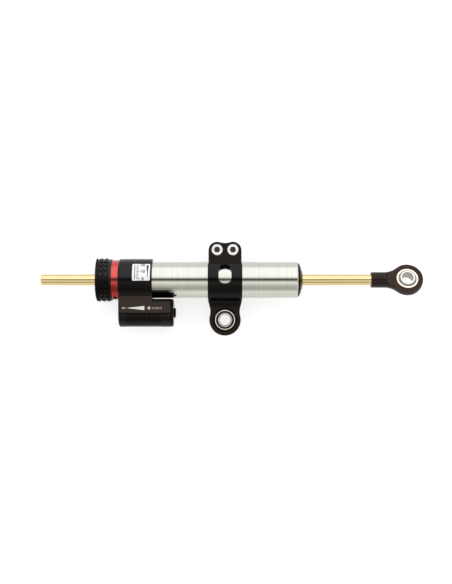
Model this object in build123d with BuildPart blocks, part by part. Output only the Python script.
from build123d import *
import os
from math import asin, cos, degrees, radians, sin, sqrt, tan

# A through-rod steering damper with a side reservoir, in millimetres.
# X runs along the rod towards the rod end, Z stands on the clamp's eye, and the
# origin is the centre of the ball in that eye. The damper lies axis_height above it in Y.

# Fits and allowances
seat_gap = 0.02
running_gap = 0.03
thread_gap = 0.05
stop_gap = 0.1
overrun = 1.0

# Rod, piston and stroke
rod_radius = 4.0
rod_clearance = 0.25
rod_tip_chamfer = 0.8
half_stroke = 37.5
piston_length = 10.0
piston_edge_gap = 0.15
band_width = 3.2
band_depth = 1.3
port_radius = 1.0
port_circle = 6.1
port_count = 6
shim_count = 3
shim_thickness = 0.4
shim_radius = 7.6
shim_step = 0.9
clip_thickness = 1.0
clip_depth = 0.6
clip_height = 1.7
clip_mouth = 2.6
bump_length = 3.0
bump_radius = 5.6

# Tubes
bore_radius = 9.0
inner_tube_wall = 1.4
annulus = 1.1
tube_wall = 1.5
tube_chamfer = 0.6
cross_hole_radius = 0.9
cross_hole_count = 4

# Glands at both ends of the rod
bush_wall = 1.0
bush_length = 8.0
seal_radius = 6.5
seal_length = 2.4
wiper_length = 2.0
wiper_lip = 0.3
spigot_length = 6.0
gland_length = 16.4
narrow_spigot_length = 5.0
dome_radius = 12.4
dome_rise = 3.6

# O-rings
cord_radius = 0.45
cord_squeeze_gap = 0.02

# Head: collar, boss and reservoir block
clamp_to_collar = 51.8
socket_depth = 14.2
collar_length = 24.2
collar_radius = 15.15
end_chamfer = 0.8
boss_radius = 9.0
boss_length = 14.6
passage_radius = 0.9
valve_port_radius = 0.75
passage_circle = 6.7
gallery_radius = 1.0
gallery_setback = 4.0
gallery_plug_radius = 1.6
port_groove_depth = 1.5
socket_seal_share = 0.33

# Reservoir
reservoir_offset = 23.7
reservoir_radius = 10.15
reservoir_length = 37.1
reservoir_inner_side = 13.6
reservoir_corner = 2.6
reservoir_bore = 7.5
reservoir_floor = 2.5
groove_count = 14
groove_pitch = 1.8
groove_width = 0.8
groove_depth = 0.5
groove_start = 6.2
cap_length = 2.1
cap_inset = 0.15
cap_round = 1.4
cap_spigot_length = 5.0
charge_plug_flats = 6.0
charge_plug_rise = 1.5
charge_plug_thread = 2.4
charge_plug_length = 5.0
charge_plug_chamfer = 0.4
floating_piston_length = 8.0
floating_piston_hollow_share = 0.5

# Lock ring and its small parts
lock_ring_length = 4.7
lock_ring_radius = 14.4
lock_screw_radius = 1.55
lock_screw_length = 3.4
lock_screw_flats = 1.6
lock_screw_socket = 1.3
lock_screw_angle = 63
stop_pin_radius = 0.75
stop_pin_seat = 2.6
stop_pin_reach = 1.3

# Knob, valve sleeve and detent
knob_length = 11.2
knob_radius = 14.85
knob_recess_radius = 12.0
knob_web = 1.0
knob_web_gap = 0.5
sleeve_length = 6.8
sleeve_wall = 2.2
sleeve_seal_share = 0.25
key_width = 2.0
key_height = 0.7
stop_slot_circle = 13.0
stop_slot_depth = 1.6
turn_limit = 150
click_angle = 15
detent_ball_radius = 0.9
detent_lift = 0.4
pocket_half_angle = 60
spring_wire = 0.16
spring_turns = 3
spring_solid_share = 0.62
metering_offset = 0.4
knob_clip_thickness = 0.9
knob_clip_depth = 0.7
knob_clip_height = 1.9
pads_per_turn = 24
pad_turns = 2.5
pad_lead = 3.6
pad_start_overlap = 0.3
pad_axial = 2.5
pad_around = 3.0
pad_rise = 0.65
pad_root = 0.3
pad_taper = 20

# Clamp
axis_height = 28.7
clamp_width = 24.5
clamp_ring_radius = 16.0
ear_half_width = 11.7
ear_half_thickness = 11.0
lobe_height = 20.9
lobe_radius = 6.05
dip_depth = 0.85
slit = 1.6
window_width = 9.1
window_length = 15.0
window_lean = 15
clamp_screw_lift = 0.5
clamp_screw_offset = 5.6
clamp_screw_radius = 2.5
clamp_screw_head_radius = 4.25
clamp_screw_head = 5.0
clamp_screw_length = 16.0
clamp_screw_flats = 4.0
clamp_screw_socket = 2.5
clamp_screw_recess = 0.4
lug_half_thickness = 3.5
lug_fillet = 6.2
lug_wall = 3.25
lug_shoulder = 12.0
lug_shoulder_share = 0.67
neck_inset = 0.75
neck_height = 22.9
eye_chamfer = 0.5

# Spherical bearings
race_radius = 8.0
race_width = 5.0
race_chamfer = 0.35
liner_wall = 0.4
ball_radius = 6.5
ball_width = 8.0
ball_bore = 4.0
ball_chamfer = 0.3

# Rod end
tip_reach = 40.4
rod_exposed = 49.2
rod_end_neck = 5.65
rod_end_reach = 26.2
rod_end_radius = 11.45
rod_end_thickness = 5.5
rod_end_flare = 13.8
rod_end_scoop = 4.5
rod_end_scoop_place = 14.7
rod_end_edge = 0.5
rod_end_roll = 28
stud_radius = 3.0
stud_length = 13.0

# Places along the damper axis, worked out from the clamp's middle
collar_end = -clamp_to_collar
collar_start = collar_end - collar_length
boss_start = collar_start - boss_length
socket_floor = collar_end - socket_depth
left_gland_face = socket_floor + spigot_length
piston_stack = piston_length + 2 * (shim_count * shim_thickness + clip_thickness)
right_gland_face = left_gland_face + 2 * (half_stroke + bump_length + stop_gap) + piston_stack
tube_end = right_gland_face + gland_length
piston_middle = (left_gland_face + right_gland_face) / 2
dome_end = tube_end + dome_rise
knob_end = collar_start - lock_ring_length - stop_gap
knob_start = knob_end - knob_length
rod_start = knob_start - tip_reach
rod_end_start = dome_end + rod_exposed
rod_eye = rod_end_start + rod_end_reach
reservoir_start = collar_start
reservoir_end = reservoir_start + reservoir_length
cap_end = reservoir_end + cap_length
gallery_place = reservoir_start + gallery_setback
valve_place = knob_end - sleeve_length / 2
inner_seal_place = knob_end - sleeve_length * sleeve_seal_share
outer_seal_place = knob_end - sleeve_length * (1 - sleeve_seal_share)
socket_seal_place = socket_floor + socket_depth * socket_seal_share

# Radii worked out from the tubes outwards
inner_tube_radius = bore_radius + inner_tube_wall
annulus_radius = inner_tube_radius + annulus
tube_radius = annulus_radius + tube_wall
rod_hole = rod_radius + rod_clearance
bush_radius = rod_radius + running_gap + bush_wall
sleeve_bore = boss_radius + running_gap
sleeve_radius = sleeve_bore + sleeve_wall
liner_inner = ball_radius + running_gap
liner_outer = liner_inner + liner_wall
race_inner = liner_outer + running_gap
lug_radius = race_radius + lug_wall
neck_half_width = lug_radius - neck_inset
clamp_screw_height = lobe_height + clamp_screw_lift
detent_circle = sleeve_bore + sleeve_wall / 2

damper_axis = Axis((0, axis_height, 0), (1, 0, 0))
reservoir_y = axis_height - reservoir_offset
reservoir_axis = Axis((0, reservoir_y, 0), (1, 0, 0))
side_plane = Plane(origin=(0, axis_height, 0), x_dir=(1, 0, 0), z_dir=(0, 0, 1))
reservoir_side = Plane(origin=(0, reservoir_y, 0), x_dir=(1, 0, 0), z_dir=(0, -1, 0))
clamp_eye_plane = Plane(origin=(0, 0, 0), x_dir=(1, 0, 0), z_dir=(0, 0, 1))
roll = radians(rod_end_roll)
rod_eye_plane = Plane(origin=(rod_eye, axis_height, 0), x_dir=(1, 0, 0), z_dir=(0, sin(roll), cos(roll)))

os.makedirs("parts", exist_ok=True)


def across(place):
    """Plane square to the damper axis: its x runs along Y and its y along Z."""
    return Plane(origin=(place, axis_height, 0), x_dir=(0, 1, 0), z_dir=(1, 0, 0))


def around(place, radius, angle):
    """Plane lying on a cylinder about the damper axis, at an angle from +Y towards +Z."""
    turn = radians(angle)
    outward = (0, cos(turn), sin(turn))
    spot = (place, axis_height + radius * cos(turn), radius * sin(turn))
    return Plane(origin=spot, x_dir=(1, 0, 0), z_dir=outward)


def band(start, end, inner, outer):
    """Rectangle of a turned section, from start to end along the axis."""
    with Locations(((start + end) / 2, (inner + outer) / 2)):
        Rectangle(abs(end - start), outer - inner)


def finish(piece, name):
    piece.label = name
    export_step(piece, "parts/" + name + ".step")


def turned_ring(name, start, end, inner, outer):
    """Plain ring about the damper axis."""
    with BuildPart() as ring:
        with BuildSketch(side_plane):
            band(start, end, inner, outer)
        revolve(axis=damper_axis)
    finish(ring.part, name)


def o_ring(name, plane, axis, place, radius):
    """O-ring whose cord's centre lies at the given place and radius; an eight-sided cord keeps it light."""
    with BuildPart() as ring:
        with BuildSketch(plane):
            with Locations((place, radius)):
                RegularPolygon(cord_radius, 8)
        revolve(axis=axis)
    finish(ring.part, name)


def outer_groove(place, surface):
    """Section of an O-ring groove cut into an outside surface."""
    reach = cord_radius + cord_squeeze_gap
    band(place - reach, place + reach, surface + running_gap - 2 * reach, surface + overrun)


def cord_circle(surface):
    """Radius of the cord's centre for an O-ring in such a groove."""
    return surface + running_gap - cord_radius - cord_squeeze_gap


def make_head():
    """Collar, boss, spigot and reservoir block, machined from one piece."""
    block_inner = -reservoir_inner_side
    with BuildPart() as head:
        with BuildSketch(side_plane):
            band(collar_start, collar_end, 0, collar_radius)
        revolve(axis=damper_axis)
        with BuildSketch(across(reservoir_start)) as body:
            with Locations((-reservoir_offset, 0)):
                Circle(reservoir_radius)
            with Locations(((block_inner - reservoir_offset) / 2, 0)):
                Rectangle(reservoir_offset - reservoir_inner_side, 2 * reservoir_radius)
            fillet(body.vertices().group_by(Axis.X)[-1], radius=reservoir_corner)
        extrude(amount=reservoir_length)
        with BuildSketch(across(collar_start)):
            with Locations((-reservoir_offset / 2, 0)):
                Rectangle(reservoir_offset, 2 * reservoir_radius)
        extrude(amount=collar_length)
        left_face = head.faces().sort_by(Axis.X)[0]
        chamfer(left_face.outer_wire().edges(), length=end_chamfer)
        with BuildSketch(side_plane):
            band(boss_start, collar_start, 0, boss_radius)
        revolve(axis=damper_axis)
        # Rod hole, bush seat, seal pocket, tube socket with its port groove, and grooves on the boss
        with BuildSketch(side_plane):
            band(boss_start - overrun, collar_end + overrun, 0, rod_hole)
            band(left_gland_face - bush_length, left_gland_face + overrun, 0, bush_radius + seat_gap)
            band(boss_start - overrun, boss_start + seal_length + wiper_length, 0, seal_radius + seat_gap)
            band(left_gland_face, collar_end + overrun, 0, tube_radius + seat_gap)
            band(socket_floor, left_gland_face + overrun, bore_radius - seat_gap, tube_radius + seat_gap)
            band(socket_floor - port_groove_depth, socket_floor, inner_tube_radius, annulus_radius)
            outer_groove(inner_seal_place, boss_radius)
            outer_groove(outer_seal_place, boss_radius)
            clip_edge = knob_end - sleeve_length - knob_web
            clip_far = clip_edge - knob_clip_thickness - 2 * thread_gap
            band(clip_far, clip_edge, boss_radius - knob_clip_depth, boss_radius + overrun)
        revolve(axis=damper_axis, mode=Mode.SUBTRACT)
        # O-ring groove inside the socket
        reach = cord_radius + cord_squeeze_gap
        with BuildSketch(side_plane):
            band(socket_seal_place - reach, socket_seal_place + reach, tube_radius, tube_radius + 2 * reach)
        revolve(axis=damper_axis, mode=Mode.SUBTRACT)
        # Reservoir bore
        with BuildSketch(across(reservoir_end)):
            with Locations((-reservoir_offset, 0)):
                Circle(reservoir_bore)
        extrude(amount=reservoir_floor - reservoir_length, mode=Mode.SUBTRACT)
        # Passages: one from the working bore and one from the gallery, both to the valve
        with BuildSketch(across(valve_place - passage_radius)):
            with Locations((passage_circle, 0)):
                Circle(passage_radius)
        extrude(amount=left_gland_face - valve_place + passage_radius, mode=Mode.SUBTRACT)
        with BuildSketch(across(valve_place - passage_radius)):
            with Locations((-passage_circle, 0)):
                Circle(passage_radius)
        extrude(amount=gallery_place - valve_place + passage_radius, mode=Mode.SUBTRACT)
        with BuildSketch(around(valve_place, passage_circle, 0), around(valve_place, passage_circle, 180)):
            Circle(valve_port_radius)
        extrude(amount=boss_radius, mode=Mode.SUBTRACT)
        # Gallery through the reservoir to the passage and the annulus
        outer_side = reservoir_offset + reservoir_radius
        with BuildSketch(around(gallery_place, outer_side, 180)):
            Circle(gallery_radius)
        extrude(amount=passage_circle - outer_side, mode=Mode.SUBTRACT)
        with BuildSketch(around(gallery_place, outer_side, 180)):
            Circle(gallery_plug_radius + seat_gap)
        extrude(amount=-2 * gallery_plug_radius, mode=Mode.SUBTRACT)
        with BuildSketch(across(gallery_place)):
            with Locations((-inner_tube_radius - annulus / 2, 0)):
                Circle(passage_radius)
        extrude(amount=socket_floor - gallery_place, mode=Mode.SUBTRACT)
        # Grip grooves round the outer half of the reservoir
        first = reservoir_start + groove_start
        middle = first + groove_pitch * (groove_count - 1) / 2
        with BuildSketch(reservoir_side):
            with Locations((middle, reservoir_radius)):
                with GridLocations(groove_pitch, groove_pitch, groove_count, 1):
                    Rectangle(groove_width, 2 * groove_depth)
        revolve(axis=reservoir_axis, revolution_arc=180, mode=Mode.SUBTRACT)
    finish(head.part, "reservoir_head")


def make_gallery_plug():
    """Ball pressed into the mouth of the drilled gallery."""
    depth = reservoir_offset + reservoir_radius - gallery_plug_radius
    with BuildPart(around(gallery_place, depth, 180)) as plug:
        Sphere(gallery_plug_radius)
    finish(plug.part, "gallery_ball_plug")


def make_tubes():
    with BuildPart() as outer:
        with BuildSketch(side_plane):
            band(socket_floor, tube_end, annulus_radius, tube_radius)
        revolve(axis=damper_axis)
        chamfer(outer.edges().filter_by(GeomType.CIRCLE).sort_by(SortBy.RADIUS)[-2:].sort_by(Axis.X)[-1],
                length=tube_chamfer)
    finish(outer.part, "outer_tube")
    shoulder = right_gland_face + narrow_spigot_length
    with BuildPart() as inner:
        with BuildSketch(side_plane):
            band(socket_floor, shoulder, bore_radius, inner_tube_radius)
        revolve(axis=damper_axis)
        with BuildSketch(*[around(right_gland_face - bump_length / 2, 0, quarter * 360 / cross_hole_count)
                           for quarter in range(cross_hole_count)]):
            Circle(cross_hole_radius)
        extrude(amount=tube_radius, mode=Mode.SUBTRACT)
    finish(inner.part, "inner_tube")


def make_end_cap():
    """Domed gland plug that closes the tube round the rod."""
    pocket = dome_end - seal_length - wiper_length - wiper_lip
    o_ring_place = tube_end - narrow_spigot_length
    with BuildPart() as cap:
        with BuildSketch(side_plane):
            with BuildLine():
                EllipticalCenterArc((tube_end, 0), dome_rise, dome_radius, start_angle=0, arc_size=90)
                Polyline((tube_end, dome_radius), (tube_end, 0), (dome_end, 0))
            make_face()
            band(right_gland_face + narrow_spigot_length, tube_end, 0, annulus_radius - seat_gap)
            band(right_gland_face, right_gland_face + narrow_spigot_length, 0, bore_radius - seat_gap)
        revolve(axis=damper_axis)
        with BuildSketch(side_plane):
            band(right_gland_face - overrun, dome_end + overrun, 0, rod_hole)
            band(right_gland_face - overrun, right_gland_face + bush_length, 0, bush_radius + seat_gap)
            band(pocket, dome_end + overrun, 0, seal_radius + seat_gap)
            outer_groove(o_ring_place, annulus_radius - running_gap)
        revolve(axis=damper_axis, mode=Mode.SUBTRACT)
    finish(cap.part, "end_cap")
    o_ring("end_cap_o_ring", side_plane, damper_axis, o_ring_place, cord_circle(annulus_radius - running_gap))
    make_gland("right", right_gland_face, pocket, 1)
    turned_ring("right_bump_stop", right_gland_face - bump_length, right_gland_face, rod_hole, bump_radius)


def make_gland(side, face, pocket, way):
    """Guide bush, rod seal and lipped wiper of one end; way is the sign of X outwards."""
    inner = rod_radius + running_gap
    turned_ring(side + "_guide_bush", face, face + way * bush_length, inner, bush_radius)
    seal_end = pocket + way * seal_length
    turned_ring(side + "_rod_seal", pocket, seal_end, inner, seal_radius)
    wiper_end = seal_end + way * wiper_length
    tip = wiper_end + way * wiper_lip
    with BuildPart() as wiper:
        with BuildSketch(side_plane):
            with BuildLine():
                Polyline((seal_end, inner), (tip, inner), (tip, inner + wiper_lip),
                         (wiper_end, seal_radius), (seal_end, seal_radius), close=True)
            make_face()
        revolve(axis=damper_axis)
    finish(wiper.part, side + "_rod_wiper")


def make_reservoir_pieces():
    """Screwed cap, charge plug, floating piston and their O-rings."""
    cap_radius = reservoir_radius - cap_inset
    spigot_end = reservoir_end - cap_spigot_length
    spigot_radius = reservoir_bore - seat_gap
    with BuildPart() as cap:
        with BuildSketch(reservoir_side):
            band(reservoir_end, cap_end, 0, cap_radius)
            band(spigot_end, reservoir_end, 0, spigot_radius)
        revolve(axis=reservoir_axis)
        rim = cap.faces().sort_by(Axis.X)[-1]
        fillet(rim.edges(), radius=cap_round)
        with BuildSketch(reservoir_side):
            band(spigot_end - overrun, cap_end + overrun, 0, charge_plug_thread + thread_gap)
            outer_groove((spigot_end + reservoir_end) / 2, reservoir_bore - running_gap)
        revolve(axis=reservoir_axis, mode=Mode.SUBTRACT)
    finish(cap.part, "reservoir_cap")
    o_ring("reservoir_cap_o_ring", reservoir_side, reservoir_axis, (spigot_end + reservoir_end) / 2,
           cord_circle(reservoir_bore - running_gap))

    with BuildPart() as plug:
        with BuildSketch(across(cap_end)):
            with Locations((-reservoir_offset, 0)):
                RegularPolygon(charge_plug_flats / 2, 6, major_radius=False)
        extrude(amount=charge_plug_rise)
        chamfer(plug.faces().sort_by(Axis.X)[-1].edges(), length=charge_plug_chamfer)
        with BuildSketch(across(cap_end)):
            with Locations((-reservoir_offset, 0)):
                Circle(charge_plug_thread)
        extrude(amount=-charge_plug_length)
    finish(plug.part, "charge_plug")

    piston_start = (reservoir_start + reservoir_floor + spigot_end - floating_piston_length) / 2
    piston_end = piston_start + floating_piston_length
    hollow_start = piston_end - floating_piston_length * floating_piston_hollow_share
    piston_cord = (piston_start + piston_end) / 2
    with BuildPart() as piston:
        with BuildSketch(reservoir_side):
            band(piston_start, piston_end, 0, reservoir_bore - running_gap)
        revolve(axis=reservoir_axis)
        with BuildSketch(reservoir_side):
            outer_groove(piston_cord, reservoir_bore - running_gap)
            band(hollow_start, piston_end + overrun, 0, reservoir_bore * floating_piston_hollow_share)
        revolve(axis=reservoir_axis, mode=Mode.SUBTRACT)
    finish(piston.part, "floating_piston")
    o_ring("floating_piston_o_ring", reservoir_side, reservoir_axis, piston_cord,
           cord_circle(reservoir_bore - running_gap))


def circlip(name, place, inner, height, thickness, mouth):
    """External retaining ring with its mouth towards +Y."""
    with BuildPart() as clip:
        with BuildSketch(across(place)):
            Circle(inner + height)
            Circle(inner, mode=Mode.SUBTRACT)
            with Locations((inner + height / 2, 0)):
                Rectangle(2 * height, mouth, mode=Mode.SUBTRACT)
        extrude(amount=thickness)
    finish(clip.part, name)


def make_piston_and_rod():
    """The rod, and the piston held on it between shims and retaining rings."""
    half = piston_length / 2
    clip_inner = rod_radius - clip_depth
    shim_stack = shim_count * shim_thickness
    left_clip = piston_middle - half - shim_stack - clip_thickness
    right_clip = piston_middle + half + shim_stack
    with BuildPart() as rod:
        with BuildSketch(side_plane):
            band(rod_start, rod_end_start, 0, rod_radius)
            band(rod_end_start, rod_end_start + stud_length, 0, stud_radius)
        revolve(axis=damper_axis)
        chamfer(rod.faces().sort_by(Axis.X)[0].edges(), length=rod_tip_chamfer)
        with BuildSketch(side_plane):
            for place in (left_clip, right_clip):
                band(place, place + clip_thickness, clip_inner - seat_gap, rod_radius + overrun)
        revolve(axis=damper_axis, mode=Mode.SUBTRACT)
    finish(rod.part, "piston_rod")
    circlip("left_piston_clip", left_clip, clip_inner, clip_height, clip_thickness, clip_mouth)
    circlip("right_piston_clip", right_clip, clip_inner, clip_height, clip_thickness, clip_mouth)

    edge = bore_radius - piston_edge_gap
    with BuildPart() as piston:
        with BuildSketch(side_plane):
            band(piston_middle - half, piston_middle + half, rod_radius + seat_gap, edge)
        revolve(axis=damper_axis)
        with BuildSketch(side_plane):
            reach = band_width / 2 + running_gap
            band(piston_middle - reach, piston_middle + reach, bore_radius - band_depth - running_gap,
                 bore_radius)
        revolve(axis=damper_axis, mode=Mode.SUBTRACT)
        with BuildSketch(across(piston_middle - half)):
            with PolarLocations(port_circle, port_count):
                Circle(port_radius)
        extrude(amount=piston_length, mode=Mode.SUBTRACT)
    finish(piston.part, "piston")
    turned_ring("piston_band", piston_middle - band_width / 2, piston_middle + band_width / 2,
                bore_radius - band_depth, bore_radius - running_gap)

    for side, way in (("left", -1), ("right", 1)):
        face = piston_middle + way * half
        with BuildPart() as shims:
            with BuildSketch(side_plane):
                for layer in range(shim_count):
                    start = face + way * layer * shim_thickness
                    band(start, start + way * shim_thickness, rod_radius + seat_gap, shim_radius - layer * shim_step)
            revolve(axis=damper_axis)
        finish(shims.part, side + "_shim_stack")


def make_lock_ring():
    """Red ring screwed to the boss, with its set screw, stop pin and detent spring."""
    ring_start = collar_start - lock_ring_length
    middle = collar_start - lock_ring_length / 2
    spring_room = 2 * detent_ball_radius
    detent_hole = detent_ball_radius + thread_gap
    screw_angle = 90 + lock_screw_angle
    with BuildPart() as ring:
        with BuildSketch(side_plane):
            band(ring_start, collar_start, boss_radius + seat_gap, lock_ring_radius)
        revolve(axis=damper_axis)
        with BuildSketch(around(middle, boss_radius / 2, screw_angle)):
            Circle(lock_screw_radius + thread_gap)
        extrude(amount=lock_ring_radius, mode=Mode.SUBTRACT)
        with BuildSketch(across(ring_start)):
            with Locations((detent_circle, 0)):
                Circle(detent_hole)
        extrude(amount=spring_room + 2 * detent_ball_radius, mode=Mode.SUBTRACT)
        with BuildSketch(across(ring_start)):
            with Locations((0, -stop_slot_circle)):
                Circle(stop_pin_radius + seat_gap)
        extrude(amount=stop_pin_seat, mode=Mode.SUBTRACT)
    finish(ring.part, "lock_ring")

    with BuildPart() as screw:
        with BuildSketch(around(middle, boss_radius + thread_gap, screw_angle)):
            Circle(lock_screw_radius)
        extrude(amount=lock_screw_length)
        with BuildSketch(around(middle, boss_radius + thread_gap + lock_screw_length, screw_angle)):
            RegularPolygon(lock_screw_flats / 2, 6, major_radius=False)
        extrude(amount=-lock_screw_socket, mode=Mode.SUBTRACT)
    finish(screw.part, "lock_set_screw")

    with BuildPart() as pin:
        with BuildSketch(across(ring_start + stop_pin_seat)):
            with Locations((0, -stop_slot_circle)):
                Circle(stop_pin_radius)
        extrude(amount=-stop_pin_seat - stop_pin_reach)
    finish(pin.part, "knob_stop_pin")

    # The ball stands level with the lands between two clicks, with its spring behind it
    ball_place = knob_end + running_gap + detent_ball_radius
    with BuildPart(Plane(origin=(ball_place, axis_height + detent_circle, 0))) as ball:
        Sphere(detent_ball_radius)
    finish(ball.part, "detent_ball")

    hole_end = ring_start + spring_room + 2 * detent_ball_radius
    spring_start = ball_place + detent_ball_radius
    coil = detent_ball_radius * spring_solid_share
    free = hole_end - spring_start - 2 * spring_wire - 2 * seat_gap
    spring_foot = (spring_start + spring_wire + seat_gap, axis_height + detent_circle, 0)
    with BuildPart() as spring:
        with BuildLine() as path:
            Helix(pitch=free / spring_turns, height=free, radius=coil, center=spring_foot, direction=(1, 0, 0))
        with BuildSketch(Plane(origin=path.line @ 0, z_dir=path.line % 0)):
            RegularPolygon(spring_wire, 4)
        sweep(path=path.line)
    finish(spring.part, "detent_spring")


def make_knob():
    """Knob with a helix of raised pads, and the rotary valve sleeve keyed inside it."""
    web_end = knob_end - sleeve_length
    web_start = web_end - knob_web
    pocket_slope = radians(pocket_half_angle)
    pocket_reach = detent_ball_radius + running_gap
    pocket_depth = pocket_reach / sin(pocket_slope) - pocket_reach + detent_lift
    pocket_mouth = pocket_depth * tan(pocket_slope)
    slot_half_angle = degrees(asin((stop_pin_radius + stop_gap) / stop_slot_circle)) + turn_limit
    slot_inner = stop_slot_circle - stop_pin_radius - thread_gap
    slot_outer = stop_slot_circle + stop_pin_radius + thread_gap
    pads = []
    for step in range(int(pads_per_turn * pad_turns) + 1):
        angle = 360 * step / pads_per_turn
        place = knob_start - pad_start_overlap + pad_lead * step / pads_per_turn
        pads.append(around(place, knob_radius - pad_root, angle))
    with BuildPart() as knob:
        with BuildSketch(side_plane):
            band(knob_start, knob_end, 0, knob_radius)
        revolve(axis=damper_axis)
        chamfer(knob.edges().filter_by(GeomType.CIRCLE), length=pad_root / 2)
        with BuildSketch(*pads):
            Rectangle(pad_axial, pad_around)
        extrude(amount=pad_root + pad_rise, taper=pad_taper)
        # The hollow, and the cut that trims the first pads level with the knob's end
        with BuildSketch(side_plane):
            band(knob_start - pad_axial, knob_start, 0, knob_radius + 2 * pad_rise)
            band(knob_start - overrun, web_start, 0, knob_recess_radius)
            band(web_start, web_end, 0, boss_radius + knob_web_gap)
            band(web_end, knob_end + overrun, 0, sleeve_radius + seat_gap)
        revolve(axis=damper_axis, mode=Mode.SUBTRACT)
        with BuildSketch(across(web_end)):
            with Locations((sleeve_radius, 0)):
                Rectangle(2 * (key_height + seat_gap), key_width + 2 * seat_gap)
        extrude(amount=sleeve_length, mode=Mode.SUBTRACT)
        with BuildSketch(across(knob_end)):
            with BuildLine():
                first = 270 - slot_half_angle
                wide = CenterArc((0, 0), slot_outer, first, 2 * slot_half_angle)
                narrow = CenterArc((0, 0), slot_inner, first, 2 * slot_half_angle)
                Line(wide @ 0, narrow @ 0)
                Line(wide @ 1, narrow @ 1)
            make_face()
        extrude(amount=-stop_slot_depth, mode=Mode.SUBTRACT)
    finish(knob.part, "adjuster_knob")

    with BuildPart() as sleeve:
        with BuildSketch(across(web_end)):
            Circle(sleeve_radius)
            with Locations((sleeve_radius, 0)):
                Rectangle(2 * key_height, key_width)
            Circle(sleeve_bore, mode=Mode.SUBTRACT)
        extrude(amount=sleeve_length)
        with BuildSketch(across(valve_place - passage_radius)):
            with Locations((metering_offset, 0)):
                Circle(sleeve_bore + metering_offset / 2)
        extrude(amount=2 * passage_radius, mode=Mode.SUBTRACT)
        with Locations(across(knob_end - pocket_depth)):
            with PolarLocations(detent_circle, 360 // click_angle):
                Cone(0, pocket_mouth, pocket_depth, align=(Align.CENTER, Align.CENTER, Align.MIN),
                     mode=Mode.SUBTRACT)
    finish(sleeve.part, "valve_sleeve")

    clip_inner = boss_radius - knob_clip_depth + seat_gap
    clip_place = web_start - thread_gap - knob_clip_thickness
    circlip("knob_circlip", clip_place, clip_inner, knob_clip_height, knob_clip_thickness, clip_mouth)
    o_ring("valve_inner_o_ring", side_plane, damper_axis, inner_seal_place, cord_circle(boss_radius))
    o_ring("valve_outer_o_ring", side_plane, damper_axis, outer_seal_place, cord_circle(boss_radius))


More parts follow.
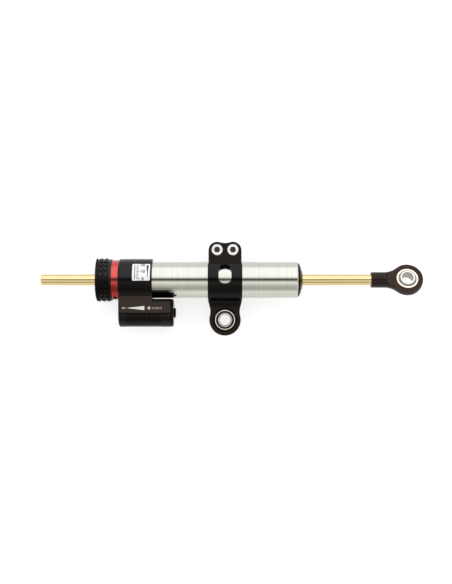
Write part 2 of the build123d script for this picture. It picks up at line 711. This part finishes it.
def make_clamp():
    """One-piece clamp: split ring, two ears for the screws and the eye lug."""
    half = clamp_width / 2
    tall = clamp_ring_radius + overrun
    plan_plane = Plane(origin=(0, axis_height, -tall), x_dir=(1, 0, 0), z_dir=(0, 0, 1))
    lobe_top = lobe_height + lobe_radius
    lobe_x = ear_half_width - lobe_radius
    ear_root = sqrt(clamp_ring_radius**2 - ear_half_thickness**2)
    # Radius of the hollow between the lobes, which touches both and lies dip_depth below their tops
    fall = lobe_radius - dip_depth
    dip_radius = (fall**2 + lobe_x**2 - lobe_radius**2) / (2 * dip_depth)
    dip_share = lobe_radius / (lobe_radius + dip_radius)
    dip_centre = lobe_height + fall + dip_radius
    dip_x = lobe_x * (1 - dip_share)
    dip_y = lobe_height + (dip_centre - lobe_height) * dip_share
    # Where the lug's round begins below its neck
    shoulder_x = neck_half_width + (lug_radius - neck_half_width) * lug_shoulder_share
    shoulder_rise = sqrt(lug_radius**2 - shoulder_x**2)
    shoulder_y = shoulder_rise - axis_height
    with BuildPart() as clamp:
        with BuildSketch(across(-half)) as side:
            Circle(clamp_ring_radius)
            with Locations((-axis_height / 2, 0)):
                Rectangle(axis_height + 2 * lug_radius, 2 * lug_half_thickness)
            with Locations((lobe_top / 2, 0)):
                Rectangle(lobe_top, 2 * ear_half_thickness)
            lug_corners = [v for v in side.vertices() if -clamp_ring_radius < v.X < -clamp_ring_radius / 2]
            fillet(lug_corners, radius=lug_fillet)
        extrude(amount=clamp_width)
        with BuildSketch(plan_plane):
            with BuildLine() as outline:
                ThreePointArc((0, dip_centre - dip_radius),
                              (dip_x / 2, dip_centre - sqrt(dip_radius**2 - dip_x**2 / 4)), (dip_x, dip_y))
                lobe_turn = radians(45)
                ThreePointArc((dip_x, dip_y),
                              (lobe_x + lobe_radius * sin(lobe_turn), lobe_height + lobe_radius * cos(lobe_turn)),
                              (ear_half_width, lobe_height))
                Polyline((ear_half_width, lobe_height), (ear_half_width, ear_root), (half, ear_root),
                         (half, -lug_shoulder))
                Spline((half, -lug_shoulder), (neck_half_width, -neck_height), (shoulder_x, shoulder_y),
                       tangents=[(0, -1), (shoulder_rise / lug_radius, -shoulder_x / lug_radius)])
                lug_turn = radians(45)
                ThreePointArc((shoulder_x, shoulder_y),
                              (lug_radius * cos(lug_turn), -axis_height - lug_radius * sin(lug_turn)),
                              (0, -axis_height - lug_radius))
                mirror(about=Plane.YZ)
            make_face()
        extrude(amount=2 * tall, mode=Mode.INTERSECT)
        with BuildSketch(across(-half)):
            Circle(tube_radius + seat_gap)
            with Locations((lobe_top, 0)):
                Rectangle(2 * lobe_top, slit)
        extrude(amount=clamp_width, mode=Mode.SUBTRACT)
        lean = radians(window_lean)
        window_plane = Plane(origin=(0, axis_height, 0), x_dir=(1, 0, 0), z_dir=(0, sin(lean), cos(lean)))
        with BuildSketch(window_plane):
            SlotOverall(window_length, window_width, rotation=90)
        extrude(amount=tall, mode=Mode.SUBTRACT)
        # Screw holes: threaded below the slit, clear above it, with sunk heads
        seat = ear_half_thickness - clamp_screw_recess - clamp_screw_head
        screw_spots = [(way * clamp_screw_offset, clamp_screw_height) for way in (-1, 1)]
        ear_top = Plane(origin=(0, axis_height, ear_half_thickness), x_dir=(1, 0, 0), z_dir=(0, 0, 1))
        with Locations(ear_top):
            with Locations(*screw_spots):
                CounterBoreHole(clamp_screw_radius + thread_gap, clamp_screw_head_radius + 2 * stop_gap,
                                ear_half_thickness - seat, 2 * ear_half_thickness)
        with BuildSketch(Plane(origin=(0, axis_height, 0), x_dir=(1, 0, 0), z_dir=(0, 0, 1))):
            with Locations(*screw_spots):
                Circle(clamp_screw_radius + 2 * stop_gap)
        extrude(amount=seat, mode=Mode.SUBTRACT)
        with BuildSketch(Plane.XY.offset(-tall)):
            Circle(race_radius + seat_gap)
        extrude(amount=2 * tall, mode=Mode.SUBTRACT)
        eye_edges = [e for e in clamp.edges().filter_by(GeomType.CIRCLE)
                     if abs(e.radius - race_radius - seat_gap) < seat_gap / 2]
        chamfer(eye_edges, length=eye_chamfer)
    finish(clamp.part, "clamp_bracket")

    head_top = seat + clamp_screw_head
    with BuildPart() as screws:
        with BuildSketch(ear_top.offset(seat - ear_half_thickness)):
            with Locations(*screw_spots):
                Circle(clamp_screw_head_radius)
        extrude(amount=clamp_screw_head)
        rims = screws.edges().filter_by(GeomType.CIRCLE).group_by(Axis.Z)[-1]
        chamfer(rims, length=clamp_screw_recess)
        with BuildSketch(ear_top.offset(seat - ear_half_thickness)):
            with Locations(*screw_spots):
                Circle(clamp_screw_radius)
        extrude(amount=-clamp_screw_length)
        with BuildSketch(ear_top.offset(head_top - ear_half_thickness)):
            with Locations(*screw_spots):
                RegularPolygon(clamp_screw_flats / 2, 6, major_radius=False)
        extrude(amount=-clamp_screw_socket, mode=Mode.SUBTRACT)
    finish(screws.part, "clamp_screws")


def make_bearing(prefix, plane):
    """Spherical bearing: pressed race, thin liner and bored ball, all about one centre."""
    with BuildPart(plane) as race:
        Cylinder(race_radius, race_width)
        chamfer(race.edges().filter_by(GeomType.CIRCLE), length=race_chamfer)
        Sphere(race_inner, mode=Mode.SUBTRACT)
    finish(race.part, prefix + "_bearing_race")
    with BuildPart(plane) as liner:
        Sphere(liner_outer)
        Cylinder(race_radius, race_width, mode=Mode.INTERSECT)
        Sphere(liner_inner, mode=Mode.SUBTRACT)
    finish(liner.part, prefix + "_bearing_liner")
    with BuildPart(plane) as ball:
        Sphere(ball_radius)
        Cylinder(race_radius, ball_width, mode=Mode.INTERSECT)
        Cylinder(ball_bore, ball_width, mode=Mode.SUBTRACT)
        bore_edges = [e for e in ball.edges().filter_by(GeomType.CIRCLE)
                      if abs(e.radius - ball_bore) < ball_chamfer]
        chamfer(bore_edges, length=ball_chamfer)
    finish(ball.part, prefix + "_bearing_ball")


def make_rod_end():
    """Rod end turned from bar: a round neck flares into a ball end, whose sides are scooped flat."""
    half = rod_end_thickness / 2
    # The flare's centre lies above the neck, and the arc touches both the neck and the round end
    flare_y = rod_end_neck + rod_end_flare
    flare_x = -sqrt((rod_end_radius + rod_end_flare) ** 2 - flare_y**2)
    touch_share = rod_end_radius / (rod_end_radius + rod_end_flare)
    touch_x = flare_x * touch_share
    touch_y = flare_y * touch_share
    half_turn = asin((touch_x - flare_x) / rod_end_flare) / 2
    middle = (flare_x + rod_end_flare * sin(half_turn), flare_y - rod_end_flare * cos(half_turn))
    top_turn = radians(45)
    top = (rod_end_radius * sin(top_turn), rod_end_radius * cos(top_turn))
    turning_plane = Plane(origin=rod_eye_plane.origin, x_dir=(1, 0, 0), z_dir=(0, 0, 1))
    scoop_plane = Plane(origin=rod_eye_plane.origin, x_dir=(1, 0, 0), z_dir=-rod_eye_plane.y_dir)
    scoop_x = rod_end_scoop_place - rod_end_reach
    with BuildPart() as body:
        with BuildSketch(turning_plane):
            with BuildLine():
                Polyline((-rod_end_reach, 0), (-rod_end_reach, rod_end_neck - rod_end_edge),
                         (rod_end_edge - rod_end_reach, rod_end_neck), (flare_x, rod_end_neck))
                ThreePointArc((flare_x, rod_end_neck), middle, (touch_x, touch_y))
                ThreePointArc((touch_x, touch_y), top, (rod_end_radius, 0))
                Line((rod_end_radius, 0), (-rod_end_reach, 0))
            make_face()
        revolve(axis=damper_axis)
        with BuildSketch(scoop_plane):
            for way in (-1, 1):
                with Locations((scoop_x + 2 * rod_end_radius, way * (half + rod_end_radius))):
                    Rectangle(4 * rod_end_radius, 2 * rod_end_radius)
                with Locations((scoop_x, way * (half + rod_end_scoop))):
                    Circle(rod_end_scoop)
        extrude(amount=rod_end_radius + overrun, both=True, mode=Mode.SUBTRACT)
        with BuildSketch(rod_eye_plane):
            Circle(race_radius + seat_gap)
        extrude(amount=rod_end_radius, both=True, mode=Mode.SUBTRACT)
        with BuildSketch(across(rod_end_start)):
            Circle(stud_radius + thread_gap)
        extrude(amount=stud_length + thread_gap, mode=Mode.SUBTRACT)
        eye_edges = [e for e in body.edges().filter_by(GeomType.CIRCLE)
                     if abs(e.radius - race_radius - seat_gap) < seat_gap / 2]
        chamfer(eye_edges, length=rod_end_edge / 2)
    finish(body.part, "rod_end")


turned_ring("left_bump_stop", left_gland_face, left_gland_face + bump_length, rod_hole, bump_radius)
make_head()
make_gland("left", left_gland_face, boss_start + seal_length + wiper_length, -1)
o_ring("socket_o_ring", side_plane, damper_axis, socket_seal_place, tube_radius + cord_radius + cord_squeeze_gap)
make_gallery_plug()
make_tubes()
make_end_cap()
make_reservoir_pieces()
make_piston_and_rod()
make_lock_ring()
make_knob()
make_clamp()
make_bearing("clamp", clamp_eye_plane)
make_bearing("rod_end", rod_eye_plane)
make_rod_end()
